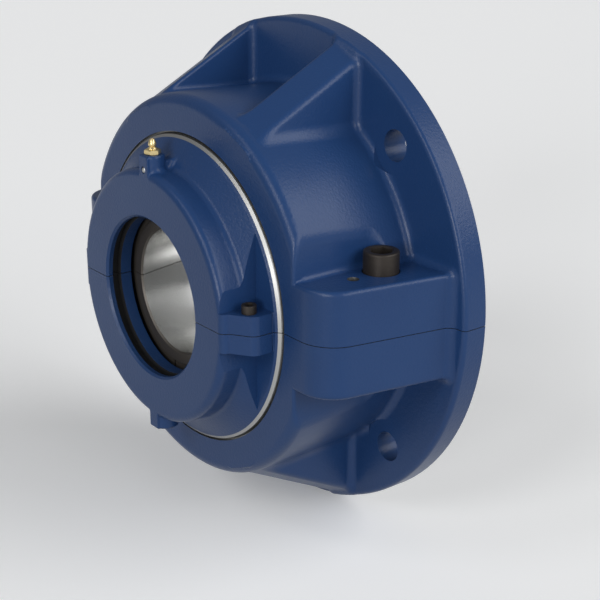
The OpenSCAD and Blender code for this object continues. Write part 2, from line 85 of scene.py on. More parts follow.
def angle(name, description, turn):
    """An angle in radians, written in degrees."""
    return FloatProperty(name=name, description=description, default=radians(turn), unit="ROTATION")


def colour(name, description, red, green, blue):
    """A colour, written as the eye sees it on a screen from 0 to 255."""
    linear = [((c / 255 + 0.055) / 1.055) ** 2.4 for c in (red, green, blue)]
    return FloatVectorProperty(name=name, description=description, default=linear, size=3,
                               subtype="COLOR", min=0, max=1)


class CastingSizes(bpy.types.PropertyGroup):
    """Sizes that every casting shares"""
    cell: mm("Cell", "Edge of the cells that a casting's skin is made from", 1.4)
    joint: mm("Joint", "Half width of the fine line between two halves", 0.24)
    fillet: mm("Fillet", "Radius of the large fillets", 6)
    edge_angle: angle("Edge angle", "Bend above which a machined edge stays sharp", 32)
    facets: IntProperty(name="Facets", description="Facets of a turned face", default=256, min=24)


class HousingSizes(bpy.types.PropertyGroup):
    """Sizes of the flanged housing"""
    rim_r: mm("Rim radius", "Outer radius of the front rim", 137.8)
    rim_w: mm("Rim width", "Width of the front rim", 10)
    draft_l: mm("Draft length", "Length over which the barrel narrows behind the rim", 75)
    rim_round: mm("Rim rounding", "Rounding of the rim's front edge", 8)
    barrel_r: mm("Barrel radius", "Outer radius at the flange", 135.5)
    flange_t: mm("Flange thickness", "Thickness of the flange", 19)
    flange_round: mm("Flange rounding", "Rounding of the flange's front edge", 3.4)
    seat_r: mm("Seat radius", "Radius of the round seat that the cartridge swivels in", 115)
    seat_gap: mm("Seat gap", "Width of the open gap round the band at the seat's mouth", 1.4)
    seat_gap_d: mm("Seat gap depth", "Depth of that gap", 3)
    rear_r: mm("Rear bore radius", "Radius of the bore behind the seat", 112)
    register_r: mm("Register radius", "Radius of the register in the back face", 122)
    register_d: mm("Register depth", "Depth of the register", 5)
    hole_ring_r: mm("Hole circle radius", "Radius of the circle of flange holes", 156)
    hole_r: mm("Hole radius", "Radius of a flange hole", 11)
    washer_r: mm("Washer cut radius", "Radius of the cut round a flange hole", 20.4)
    washer_d: mm("Washer cut depth", "Depth of that cut in the flange", 0.02)
    rib_x: mm("Rib place", "Distance of a rib's middle from the upright plane", 59.95)
    rib_t: mm("Rib thickness", "Thickness of a rib", 23.5)
    rib_round: mm("Rib rounding", "Rounding of a rib's upper edges", 3.2)
    rib_foot_r: mm("Rib foot radius", "Radius of the rib's top at the rim", 137.4)
    rib_top_r: mm("Rib top radius", "Radius of the rib's top at the flange", 178.2)
    lug_h: mm("Lug height", "Half height of the joint lugs", 37)
    lug_x: mm("Lug corner place", "From the axis to the lug's front corner", 151.5)
    lug_corner_r: mm("Lug corner radius", "Radius of the lug's front corner", 26)
    lug_taper: angle("Lug taper", "Slant of the lug's side", 11)
    lug_round: mm("Lug rounding", "Rounding of the lug's upper edge", 2.8)
    lug_fillet: mm("Lug fillet", "Radius of the fillets at the lug's foot", 4)
    pocket_x: mm("Pocket place", "From the axis to the screw pocket's wall", 122)
    pocket_round: mm("Pocket rounding", "Rounding of the pocket's upright edge", 2.2)
    screw_x: mm("Screw place across", "From the axis to the housing screw", 136.7)
    screw_y: mm("Screw place along", "Distance of the housing screw behind the centre", 28)
    screw_r: mm("Screw hole radius", "Radius of the housing screw's hole", 8.3)
    spot_r: mm("Screw seat radius", "Radius of the seat under the screw head", 12.7)
    spot_d: mm("Screw seat depth", "Depth of that seat", 1.6)
    dowel_x: mm("Dowel place across", "From the axis to the housing dowel", 138)
    dowel_y: mm("Dowel place along", "Distance of the housing dowel behind the centre", 3.3)
    dowel_r: mm("Dowel hole radius", "Radius of the dowel's hole", 4.02)


class CartridgeSizes(bpy.types.PropertyGroup):
    """Sizes of the swivel cartridge"""
    ball_r: mm("Sphere radius", "Radius of the polished swivel band", 114.95)
    band_y: mm("Band edge", "From the centre to the band's edge", 33.1)
    shoulder_y: mm("Shoulder place", "From the centre to the flare's shoulder", 35.9)
    shoulder_r: mm("Shoulder radius", "Radius of the flare at its shoulder", 106.6)
    strip_w: mm("Painted strip", "Width of the painted strip between shoulder and band", 1.6)
    root_y: mm("Flare root", "From the centre to the flare's root", 47)
    nose_r: mm("Nose radius", "Outer radius of the nose", 90.6)
    nose_round: mm("Nose rounding", "Rounding of the nose's outer edge", 5.5)
    nose_fillet: mm("Nose fillet", "Fillet between the nose and the flare", 2.4)
    bore_r: mm("Bore radius", "Radius of the nose bore", 57.2)
    mouth: mm("Mouth chamfer", "Chamfer at the mouth of the bore", 1.6)
    lip: mm("Lip", "Distance from the nose face to the seal groove", 4.7)
    groove_w: mm("Groove width", "Width of the seal groove", 6.9)
    groove_d: mm("Groove depth", "Depth of the seal groove", 5)
    cavity_r: mm("Cavity radius", "Radius of the cavity round the clamping rings", 76)
    cavity_y: mm("Cavity length", "Half length of that cavity", 45.9)
    race_r: mm("Race seat radius", "Radius of the outer race's seat", 88.9)
    race_y: mm("Race seat length", "Half length of the outer race's seat", 19.5)
    notch_x: mm("Notch place", "From the axis to the flat beside each ear", 86.1)
    ear_h: mm("Ear height", "Half height of an ear", 13.5)
    ear_x: mm("Ear reach", "From the axis to an ear's side", 105.7)
    ear_r: mm("Ear corner", "Radius of an ear's corner", 8)
    ear_start: mm("Ear start", "How far behind the nose face an ear's front starts", 5.6)
    ear_slant: angle("Ear slant", "Slant of an ear's front", 31)
    screw_x: mm("Screw place across", "From the axis to an ear screw", 96.3)
    screw_y: mm("Screw place along", "From the centre to an ear screw", 48.9)
    screw_r: mm("Screw hole radius", "Radius of an ear screw's hole", 3.2)
    boss_r: mm("Boss radius", "Radius of the grease boss", 8)
    boss_top: mm("Boss height", "Height of the grease boss above the axis", 101.4)
    boss_low: mm("Boss rib height", "Height of the ribs behind the bosses", 97)
    plain_r: mm("Plain boss radius", "Radius of the plain boss below", 9.6)
    plain_top: mm("Plain boss height", "Reach of the plain boss below the axis", 99.4)
    boss_w: mm("Boss front width", "Width of the boss's flat front", 11)
    boss_rib_r: mm("Boss rib", "Half width of the rib behind the boss", 4.5)
    boss_rib_round: mm("Boss rib rounding", "Rounding of that rib's upper edges", 1.6)
    boss_round: mm("Boss rounding", "Rounding of the boss's upper edge", 0.8)
    boss_fillet: mm("Boss fillet", "Fillet at the foot of the boss", 3)
    plug_z: mm("Plug height", "Height of the plugged drilling above the axis", 91.4)
    plug_r: mm("Plug radius", "Radius of the ball that plugs it", 2.5)


class ScrewSizes(bpy.types.PropertyGroup):
    """Sizes of the socket head screws and the grease nipple"""
    housing_d: mm("Housing screw", "Thread diameter of the housing screws", 16)
    housing_l: mm("Housing screw length", "Length under the head", 68)
    ear_d: mm("Ear screw", "Thread diameter of the ear screws", 6)
    ear_l: mm("Ear screw length", "Length under the head", 25)
    seed: IntProperty(name="Seed", description="Chooses how far each screw is turned", default=3)
    nipple_af: mm("Nipple flats", "Width across the flats of the nipple's hexagon", 10)
    nipple_h: mm("Nipple hexagon", "Height of that hexagon", 3.6)
    nipple_turn: angle("Nipple turn", "How far the hexagon is turned", 8)


class RaceSizes(bpy.types.PropertyGroup):
    """Sizes of the split inner race"""
    shaft_r: mm("Shaft radius", "Radius of the shaft", 45)
    seat_r: mm("Ring seat radius", "Radius that the clamping rings sit on", 54.5)
    track_r: mm("Track radius", "Radius of the roller track", 59.5)
    lip_h: mm("Lip height", "Height of the guiding lips", 3.5)
    lip_y: mm("Lip place", "From the centre to the lips", 12.2)
    lip_w: mm("Lip width", "Width of a guiding lip", 7.8)
    chamfer: mm("Chamfer", "Edge chamfer of the race", 1.2)
    slant: angle("Joint slant", "Slant of the joint against the shaft", 6.7)
    turn: angle("Turn", "Turn of the race at rest", 6.6)
    joint: mm("Joint", "Half width of the line between the race halves", 0.24)


class FinishColours(bpy.types.PropertyGroup):
    """Colours of the finishes"""
    paint: colour("Paint", "Satin blue machinery paint", 34, 65, 111)
    paint_deep: colour("Deep paint", "The same paint where it lies thick", 29, 57, 102)
    # painted shade: this black stands for the deep shade inside the empty seal groove, not for a
    # colour of its own
    groove: colour("Groove", "Black of the seal groove", 17, 17, 18)
    black: colour("Black steel", "Blackened screws and rings", 58, 52, 47)
    steel: colour("Steel", "Ground steel of the races", 222, 222, 220)
    dark_steel: colour("Dark steel", "Unground faces of the races and rings", 84, 79, 74)
    bright: colour("Bright steel", "Polished steel of the band and the ball", 176, 176, 174)
    iron: colour("Iron", "Machined faces of the castings", 138, 138, 136)
    brass: colour("Brass", "Brass of the grease nipple", 214, 172, 88)
    cage: colour("Cage brass", "Brass of the roller cage", 186, 146, 84)
    backdrop: colour("Backdrop", "Plain pale floor and backdrop", 246, 247, 248)


class BearingSettings(bpy.types.PropertyGroup):
    """Every size and colour of the bearing"""
    casting: PointerProperty(type=CastingSizes, name="Castings", description="Shared sizes")
    housing: PointerProperty(type=HousingSizes, name="Housing", description="Housing sizes")
    cartridge: PointerProperty(type=CartridgeSizes, name="Cartridge", description="Cartridge sizes")
    screws: PointerProperty(type=ScrewSizes, name="Screws", description="Screw sizes")
    race: PointerProperty(type=RaceSizes, name="Race", description="Inner race sizes")
    colours: PointerProperty(type=FinishColours, name="Colours", description="Colours")


def settings():
    """The bearing's settings in this scene."""
    return bpy.context.scene.bearing


# Node trees

MIX_FACTOR, MIX_FIRST, MIX_SECOND, MIX_RESULT = 0, 6, 7, 2   # a Mix node's sockets for colours


class Value:
    """A socket that can be used in sums."""

    def __init__(self, graph, socket):
        self.graph = graph
        self.socket = socket

    def maths(self, operation, *values):
        """A Math node on those values."""
        return self.graph.node("ShaderNodeMath", {"operation": operation}, dict(enumerate(values)))

    def output(self, name):
        """Another output of the node that this value comes from."""
        return Value(self.graph, self.socket.node.outputs[name])

    def __add__(self, other):
        return self.maths("ADD", self, other)

    def __sub__(self, other):
        return self.maths("SUBTRACT", self, other)

    def __rsub__(self, other):
        return self.maths("SUBTRACT", other, self)

    def __mul__(self, other):
        return self.maths("MULTIPLY", self, other)

    __radd__ = __add__
    __rmul__ = __mul__

    def clamped(self):
        """This number held between 0 and 1."""
        return self.graph.node("ShaderNodeClamp", {}, {0: self})


class Graph:
    """A node tree that is written from left to right."""

    def __init__(self, tree):
        self.tree = tree

    def node(self, kind, choices=None, values=None):
        """The first output of a new node, from its kind, settings and what its inputs hold."""
        made = self.tree.nodes.new(kind)
        for name, choice in (choices or {}).items():
            setattr(made, name, choice)
        for name, value in (values or {}).items():
            socket = value.socket if isinstance(value, Value) else value
            if isinstance(socket, bpy.types.NodeSocket):
                self.tree.links.new(socket, made.inputs[name])
            else:
                made.inputs[name].default_value = socket
        return Value(self, made.outputs[0]) if made.outputs else None

    def noise(self, vector, scale, detail=2.0, roughness=0.5):
        """Soft noise, with that many waves in a metre."""
        return self.node("ShaderNodeTexNoise", {"normalize": True}, {
            "Vector": vector, "Scale": scale, "Detail": detail, "Roughness": roughness})

    def blend(self, factor, first, second):
        """A colour between two colours."""
        mixed = self.node("ShaderNodeMix", {"data_type": "RGBA"}, {
            MIX_FACTOR: factor, MIX_FIRST: (*first, 1), MIX_SECOND: (*second, 1)})
        return mixed.output(MIX_RESULT)

    def bump(self, height, distance, strength=1.0):
        """A normal that is bent by a height."""
        return self.node("ShaderNodeBump", {}, {
            "Height": height, "Distance": distance, "Strength": strength})

    def seen(self):
        """1 for rays that show the pale backdrop, in view, in a gloss or through glass, else 0."""
        path = self.node("ShaderNodeLightPath")
        direct, gloss = path.output("Is Camera Ray"), path.output("Is Glossy Ray")
        return (direct + gloss + path.output("Is Transmission Ray")).clamped()


def new_material(name, fixed, build):
    """A material with plain numbers in its fixed sockets and what build makes in the others."""
    material = bpy.data.materials.new(name)
    material.use_nodes = True
    material.node_tree.nodes.clear()
    graph = Graph(material.node_tree)
    place = graph.node("ShaderNodeTexCoord").output("Object")
    varying = build(graph, place)
    shader = graph.node("ShaderNodeBsdfPrincipled", {}, {**fixed, **varying})
    graph.node("ShaderNodeOutputMaterial", {}, {"Surface": shader})
    return material


def paint_finish(graph, place):
    """Satin paint: cloudy colour, orange peel and a fine grain in the gloss."""
    colours = settings().colours
    cloud = graph.noise(place, 14, 3)
    peel = graph.noise(place, 560, 2, 0.5)
    grain = graph.noise(place, 1700, 1)
    return {
        "Base Color": graph.blend(cloud, colours.paint, colours.paint_deep),
        "Roughness": 0.26 + 0.08 * peel + 0.05 * cloud,
        "Normal": graph.bump(peel + 0.2 * grain, 0.0005, 0.36),
    }


def black_finish(graph, place):
    """Blackened steel: uneven oxide with a dull sheen."""
    black = settings().colours.black
    cloud = graph.noise(place, 260, 3)
    grain = graph.noise(place, 2600, 2)
    return {
        "Base Color": graph.blend(cloud, black, [0.62 * c for c in black]),
        "Roughness": 0.38 + 0.16 * cloud,
        "Normal": graph.bump(grain, 0.00008, 0.4),
    }


def groove_painted_shade_finish(graph, place):
    """Painted shade: matt black on the faces of the empty seal groove, standing for the deep shade
    inside it, with a random mottle.
    """
    groove = settings().colours.groove
    mottle = graph.noise(place, 190, 3)
    return {
        "Base Color": graph.blend(mottle, groove, [1.6 * c for c in groove]),
        "Roughness": 0.62 + 0.2 * mottle,
        "Normal": graph.bump(mottle, 0.0003, 0.4),
    }


def turned_finish(tint, rough, lines, depth):
    """A finish with fine tool lines round the shaft axis."""
    def build(graph, place):
        base = settings().colours.path_resolve(tint)
        along = graph.node("ShaderNodeMapping", {}, {"Vector": place, "Scale": (0.02, 1, 0.02)})
        line = graph.noise(along, lines, 3, 0.6)
        cloud = graph.noise(place, 18, 2)
        return {
            "Base Color": graph.blend(cloud, base, [0.86 * c for c in base]),
            "Roughness": rough + 0.12 * cloud + 0.06 * line,
            "Normal": graph.bump(line, depth, 0.5),
        }
    return build


def cast_brass_finish(tint, rough):
    """Brass with a soft tarnish."""
    def build(graph, place):
        base = settings().colours.path_resolve(tint)
        cloud = graph.noise(place, 420, 3)
        return {
            "Base Color": graph.blend(cloud, base, (0.72 * base[0], 0.62 * base[1], 0.5 * base[2])),
            "Roughness": rough + 0.12 * cloud,
            "Normal": graph.bump(graph.noise(place, 1500, 2), 0.00005, 0.3),
        }
    return build


FINISHES = {
    "paint": ({"Specular IOR Level": 0.3}, paint_finish),
    # the groove finish is painted shade: black for the shade inside the seal groove
    "groove": ({}, groove_painted_shade_finish),
    "black": ({"Metallic": 0.55}, black_finish),
    "steel": ({"Metallic": 1.0}, turned_finish("steel", 0.16, 900, 0.00002)),
    "bright": ({"Metallic": 1.0}, turned_finish("bright", 0.3, 1200, 0.00001)),
    "dark_steel": ({"Metallic": 0.6}, turned_finish("dark_steel", 0.34, 700, 0.00002)),
    "iron": ({"Metallic": 1.0}, turned_finish("iron", 0.36, 500, 0.00004)),
    "brass": ({"Metallic": 1.0}, cast_brass_finish("brass", 0.22)),
    "cage": ({"Metallic": 1.0}, cast_brass_finish("cage", 0.34)),
}


def finish(name):
    """The material of that finish, made when it is first asked for."""
    found = bpy.data.materials.get(name)
    return found or new_material(name, *FINISHES[name])


# Castings: a field holds the distance from the surface, below zero inside

def round_union(a, b, radius):
    """Both bodies, with a fillet where they cross."""
    inside = np.hypot(np.maximum(radius - a, 0), np.maximum(radius - b, 0))
    return np.maximum(radius, np.minimum(a, b)) - inside


def round_common(a, b, radius):
    """What both bodies share, with a rounded edge."""
    outside = np.hypot(np.maximum(radius + a, 0), np.maximum(radius + b, 0))
    return np.minimum(-radius, np.maximum(a, b)) + outside


def smooth_step(value):
    """A soft step from 0 to 1."""
    t = np.clip(value, 0, 1)
    return t * t * (3 - 2 * t)


def lug_field(s, x, y, z):
    """One joint lug, which runs on through the joint."""
    front = HOUSING_LOW.y
    reach = s.lug_corner_r * tan((pi / 2 - s.lug_taper) / 2)
    across = x - (s.lug_x - reach)
    along = y - (front + s.lug_corner_r)
    side = (x - s.lug_x - (y - front) * tan(s.lug_taper)) * cos(s.lug_taper) + s.lug_corner_r
    corner = (across > 0) & (across * sin(s.lug_taper) + along * cos(s.lug_taper) < 0)
    outline = np.where(corner, np.hypot(across, along), np.maximum(side, -along)) - s.lug_corner_r
    return round_common(outline, z - s.lug_h, s.lug_round)


def pocket_field(s, x, y, z):
    """The space beside the barrel that frees a housing screw."""
    upright = np.maximum(s.pocket_x - x, y - s.screw_y)
    end = np.hypot(x - s.screw_x, y - s.screw_y) - (s.screw_x - s.pocket_x)
    return np.maximum(np.minimum(upright, end), s.lug_h / 2 - z)


def rib_fields(s, x, y, z):
    """The walls of a rib and the slope of its top."""
    flange_y = HOUSING_HIGH.y - s.flange_t
    start_y = HOUSING_LOW.y + s.rim_w
    foot_z = sqrt(s.rib_foot_r ** 2 - s.rib_x ** 2)
    top_z = sqrt(s.rib_top_r ** 2 - s.rib_x ** 2)
    slope = atan2(top_z - foot_z, flange_y - start_y)
    tilt = asin(2 * s.rib_x / (s.rib_foot_r + s.rib_top_r))
    top = ((x - s.rib_x) * sin(tilt)
           + cos(tilt) * ((z - foot_z) * cos(slope) - (y - start_y) * sin(slope)))
    return np.abs(x - s.rib_x) - s.rib_t / 2, top


def housing_field(x, y, z):
    """The housing casting before its faces are machined, the same on both sides."""
    s = settings().housing
    fillet = settings().casting.fillet
    x = np.abs(x)
    radius = np.hypot(x, z)
    front = HOUSING_LOW.y - y
    flange_y = HOUSING_HIGH.y - s.flange_t
    draft = (s.rim_r - s.barrel_r) * smooth_step(-(front + s.rim_w) / s.draft_l)
    barrel = round_common(radius - s.rim_r + draft, front, s.rim_round)
    barrel = round_common(barrel, -pocket_field(s, x, y, z), s.pocket_round)
    walls, top = rib_fields(s, x, y, z)
    ribs = round_common(round_union(barrel, walls, fillet), top, s.rib_round)
    foot = s.lug_fillet * smooth_step(-front / s.rim_w)
    body = round_union(np.minimum(barrel, ribs), lug_field(s, x, y, z), foot)
    flange = round_common(radius - HOUSING_HIGH.z, flange_y - y, s.flange_round)
    body = round_union(np.maximum(body, front), flange, fillet)
    return np.maximum(body, radius - HOUSING_HIGH.z)


def cartridge_field(boss_r, top):
    """The cartridge casting before it is machined, with a boss of that radius and height."""
    def field(x, y, z):
        s = settings().cartridge
        x = np.abs(x)
        radius = np.hypot(x, z)
        nose_y = -CARTRIDGE_LOW.y
        nose = round_common(radius - s.nose_r, np.abs(y) - nose_y, s.nose_round)
        fall = atan2(s.root_y - s.shoulder_y, s.shoulder_r - s.nose_r)
        flare = (radius - s.nose_r) * sin(fall) + (np.abs(y) - s.root_y) * cos(fall)
        flare = np.maximum(flare, np.abs(y) - nose_y + s.nose_round)
        body = round_union(nose, np.maximum(flare, radius - s.ball_r - MM), s.nose_fillet)
        boss_y = boss_r - nose_y
        flat = np.maximum(x - s.boss_w / 2, np.abs(y - boss_y + boss_r / 2) - boss_r / 2)
        boss = np.minimum(np.hypot(x, y - boss_y) - boss_r, flat)
        boss = round_common(boss, z - top, s.boss_round)
        rib = round_common(x - s.boss_rib_r, z - s.boss_low, s.boss_rib_round)
        rib = np.maximum(rib, np.maximum(boss_y - y, y))
        raised = np.maximum(np.minimum(boss, rib), s.cavity_r - z)
        away = smooth_step((y + nose_y) / boss_r)
        return round_union(body, raised, s.boss_fillet * away + 0.2 * MM)
    return field


def slope_of(field, points):
    """The field's unit slope at points, which is the surface's normal."""
    step = 0.05 * MM
    slope = np.empty_like(points)
    for axis in range(3):
        ahead, behind = points.copy(), points.copy()
        ahead[:, axis] += step
        behind[:, axis] -= step
        slope[:, axis] = field(*ahead.T) - field(*behind.T)
    slope /= np.maximum(np.linalg.norm(slope, axis=1, keepdims=True), 1e-12)
    return slope


def skin(field, low, high):
    """Points and four-sided faces of the surface where the field is zero, closed at the box."""
    cell = settings().casting.cell * 1
    counts = [int(np.ceil((b - a) / cell)) + 1 for a, b in zip(low, high)]
    lines = [a + cell * np.arange(count) for a, count in zip(low, counts)]
    value = field(*np.meshgrid(*lines, indexing="ij"))
    for axis in range(3):
        side = np.moveaxis(value, axis, 0)
        side[0] = np.maximum(side[0], cell)
        side[-1] = np.maximum(side[-1], cell)
    inside = value < 0
    corners = [(i, j, k) for i in (0, 1) for j in (0, 1) for k in (0, 1)]

    def corner(array, i, j, k):
        return array[i:counts[0] - 1 + i, j:counts[1] - 1 + j, k:counts[2] - 1 + k]
    full = sum(corner(inside, *c).astype(np.int8) for c in corners)
    near = (full > 0) & (full < 8)
    number = np.full(near.shape, -1, np.int64)
    number[near] = np.arange(near.sum())
    cells = np.argwhere(near)
    crossing = np.zeros((len(cells), 3))
    hits = np.zeros((len(cells), 1))
    for a in corners:
        for axis in range(3):
            if a[axis]:
                continue
            b = list(a)
            b[axis] = 1
            va = value[tuple((cells + a).T)]
            vb = value[tuple((cells + b).T)]
            cut = (va < 0) != (vb < 0)
            share = np.where(cut, va / np.where(cut, va - vb, 1), 0)
            spot = np.array(a, float)[None, :].repeat(len(cells), 0)
            spot[:, axis] = share
            crossing += np.where(cut[:, None], spot, 0)
            hits += cut[:, None]
    points = np.array(low) + cell * (cells + crossing / hits)
    home = points.copy()
    for _ in range(4):
        slope = slope_of(field, points)
        points -= slope * field(*points.T)[:, None]
        points = home + np.clip(points - home, -cell, cell)
    edge_of_box = ((cells < 1) | (cells >= np.array(near.shape) - 1)).any(1)
    points[edge_of_box] = home[edge_of_box]
    faces = []
    for axis in range(3):
        u, v = (axis + 1) % 3, (axis + 2) % 3
        here = np.moveaxis(inside, axis, 0)
        change = np.moveaxis(here[1:] != here[:-1], 0, axis)
        spots = np.argwhere(change)
        keep = (spots[:, u] > 0) & (spots[:, v] > 0)
        keep &= (spots[:, u] < counts[u] - 1) & (spots[:, v] < counts[v] - 1)
        spots = spots[keep]
        ring = []
        for du, dv in ((0, 0), (-1, 0), (-1, -1), (0, -1)):
            at = spots.copy()
            at[:, u] += du
            at[:, v] += dv
            ring.append(number[tuple(at.T)])
        ring = np.stack(ring, 1)
        forward = inside[tuple(spots.T)]
        ring[~forward] = ring[~forward][:, ::-1]
        faces.append(ring)
    return points, np.concatenate(faces)


def read(items, name, kind, size=1):
    """One value, or one row of values, of every item in a mesh's list."""
    values = np.empty(len(items) * size, kind)
    items.foreach_get(name, values)
    return values.reshape(-1, size) if size > 1 else values


def mesh_object(name, points, faces, slots=None):
    """An object with a plain mesh, each face with the place of its material."""
    mesh = bpy.data.meshes.new(name)
    mesh.from_pydata(np.asarray(points).tolist(), [], [list(f) for f in faces])
    if slots is not None:
        mesh.polygons.foreach_set("material_index", np.asarray(slots, np.int32))
    mesh.update()
    made = bpy.data.objects.new(name, mesh)
    bpy.context.scene.collection.objects.link(made)
    return made


def turned(name, profile, slots, facets, axis="y"):
    """A closed body turned round an axis: profile holds radius and place along that axis."""
    turn = np.linspace(0, 2 * pi, facets, endpoint=False)
    points, rows = [], []
    for r, y in profile:
        if r < 1e-9:
            rows.append([len(points)] * facets)
            points.append((0, y, 0) if axis == "y" else (0, 0, y))
        else:
            rows.append(list(range(len(points), len(points) + facets)))
            round_it = [(r * cos(t), r * sin(t)) for t in turn]
            points += [(a, y, b) if axis == "y" else (a, b, y) for a, b in round_it]
    faces, places = [], []
    for place, (row, after) in enumerate(zip(rows, rows[1:] + rows[:1])):
        if row[0] == row[1] and after[0] == after[1]:
            continue
        for i in range(facets):
            j = (i + 1) % facets
            face = [row[i], row[j], after[j], after[i]]
            faces.append(list(dict.fromkeys(face)))
            places.append(slots[place % len(slots)])
    made = mesh_object(name, points, faces, places)
    outwards(made)
    return made


def outwards(made):
    """Turns a closed mesh's faces outwards, by the sign of its volume."""
    mesh = made.data
    mesh.calc_loop_triangles()
    at = read(mesh.vertices, "co", float, 3)
    a, b, c = (at[[t.vertices[i] for t in mesh.loop_triangles]] for i in range(3))
    if (np.cross(a, b) * c).sum() < 0:
        mesh.flip_normals()


def prism(name, outline, start, end, axis="z", slot=0):
    """An outline drawn out along an axis."""
    count = len(outline)
    points = [(u, v, level) if axis == "z" else (u, level, v)
              for level in (start, end) for u, v in outline]
    faces = [list(range(count))[::-1], list(range(count, 2 * count))]
    faces += [[i, (i + 1) % count, count + (i + 1) % count, count + i] for i in range(count)]
    made = mesh_object(name, points, faces, [slot] * len(faces))
    outwards(made)
    return made


def circle(x, y, radius, facets=64):
    """Points round a circle."""
    return [(x + radius * cos(t), y + radius * sin(t))
            for t in np.linspace(0, 2 * pi, facets, endpoint=False)]


def block(name, low, high, slot=0):
    """A box between two corners."""
    outline = [(low[0], low[1]), (high[0], low[1]), (high[0], high[1]), (low[0], high[1])]
    return prism(name, outline, low[2], high[2], "z", slot)


def carve(made, tools, operation="DIFFERENCE"):
    """Cuts a body with each tool, or joins or crosses them, and removes the tool."""
    for tool in tools:
        modifier = made.modifiers.new(tool.name, "BOOLEAN")
        modifier.operation = operation
        modifier.solver = "MANIFOLD"
        modifier.material_mode = "INDEX"
        modifier.object = tool
        settle(made)
        if len(made.data.polygons) < 8:
            raise RuntimeError(f"{made.name}: the step {tool.name} left no body")
        bpy.data.meshes.remove(tool.data)


def settle(made):
    """Swaps an object's mesh for the plain mesh that its modifiers make."""
    bpy.context.view_layer.update()
    old = made.data
    final = made.evaluated_get(bpy.context.evaluated_depsgraph_get())
    mesh = bpy.data.meshes.new_from_object(final)
    made.modifiers.clear()
    made.data = mesh
    bpy.data.meshes.remove(old)


def shade(made, field=None, flip=1):
    """Sharp edges at machined corners, and true normals on the cast skin, which is slot 0."""
    mesh = made.data
    mesh.shade_smooth()
    normals = read(mesh.polygons, "normal", np.float32, 3)
    slot = read(mesh.polygons, "material_index", np.int32)
    loop_edges = read(mesh.loops, "edge_index", np.int32)
    owner = np.repeat(np.arange(len(slot)), read(mesh.polygons, "loop_total", np.int32))
    order = np.argsort(loop_edges, kind="stable")
    sorted_edges, sorted_faces = loop_edges[order], owner[order]
    pair = sorted_edges[1:] == sorted_edges[:-1]
    a, b = sorted_faces[:-1][pair], sorted_faces[1:][pair]
    bend = (normals[a] * normals[b]).sum(1)
    cast = (slot[a] == 0) & (slot[b] == 0) & (field is not None)
    hard = (slot[a] == 0) != (slot[b] == 0) if field is not None else np.zeros(len(a), bool)
    hard |= ~cast & (bend < cos(settings().casting.edge_angle))
    sharp = np.zeros(len(mesh.edges), bool)
    sharp[sorted_edges[:-1][pair][hard]] = True
    edges = mesh.attributes.get("sharp_edge")
    edges = edges or mesh.attributes.new("sharp_edge", "BOOLEAN", "EDGE")
    edges.data.foreach_set("value", sharp)
    if field is None:
        return
    points = read(mesh.vertices, "co", float, 3)
    points[:, 2] *= flip
    slope = slope_of(field, points)
    slope[:, 2] *= flip
    corner = read(mesh.loops, "vertex_index", np.int32)
    true = np.where((slot[owner] == 0)[:, None], slope[corner], 0)
    mesh.normals_split_custom_set(true.tolist())


def place_piece(made, body, slot, node, *finishes):
    """Gives a piece its finishes, the body that it moves with and the node that it stands for."""
    mesh = made.data
    slots = read(mesh.polygons, "material_index", np.int32)
    mesh.materials.clear()
    for name in finishes:
        mesh.materials.append(finish(name))
    mesh.polygons.foreach_set("material_index", slots)
    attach(made, body)
    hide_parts(node)


def joint_block(half, gap):
    """The space on the other side of the joint."""
    far = 0.3
    bottom, top = (-far, gap) if half > 0 else (-gap, far)
    return block("joint_space", (-far, -far, bottom), (far, far, top), 2)


def arc(radius, start_y, end_y, steps):
    """Points on a sphere round the bearing centre, from one place along the shaft to another."""
    return [(sqrt(radius ** 2 - y ** 2), y) for y in np.linspace(start_y, end_y, steps)]


def housing_cutters(half):
    """The bodies whose cuts leave the machined faces of one housing half."""
    s = settings().housing
    shared = settings().casting
    far = 0.3
    front, back = HOUSING_LOW.y, HOUSING_HIGH.y
    flange_y = back - s.flange_t
    mouth = sqrt(s.seat_r ** 2 - front ** 2) + s.seat_gap
    rear_y = sqrt(s.seat_r ** 2 - s.rear_r ** 2)
    seat = [(0, front - MM), (mouth, front - MM), (mouth + s.seat_gap, front + s.seat_gap_d)]
    seat += arc(s.seat_r, front + s.seat_gap_d, rear_y, 40)
    seat += [(s.rear_r, back - s.register_d), (s.register_r, back - s.register_d),
             (s.register_r, back + far), (0, back + far)]
    cutters = [turned("seat", seat, [2] * len(seat), shared.facets)]
    cutters.append(block("back_space", (-far, back, -far), (far, far, far), 2))
    for turn in (pi / 4, 3 * pi / 4):
        x, z = s.hole_ring_r * cos(turn), half * s.hole_ring_r * sin(turn)
        cutters += [prism("hole", circle(x, z, s.hole_r), 0, far, "y", 1),
                    prism("washer_cut", circle(x, z, s.washer_r, 96),
                          flange_y - 2 * shared.fillet, flange_y + s.washer_d, "y", 1)]
    for side in (-1, 1):
        x = side * s.screw_x
        if half > 0:
            cutters.append(prism("screw_seat", circle(x, s.screw_y, s.spot_r),
                                 s.lug_h - s.spot_d, 2 * s.lug_h, "z", 1))
        depth = 2 * s.lug_h if half > 0 else s.lug_h / 2
        cutters += [prism("screw_hole", circle(x, s.screw_y, s.screw_r, 48),
                          -2 * s.lug_h, 2 * s.lug_h, "z", 2),
                    prism("dowel_hole", circle(side * s.dowel_x, s.dowel_y, s.dowel_r, 32),
                          -depth, depth, "z", 2)]
    return cutters + [joint_block(half, shared.joint)]


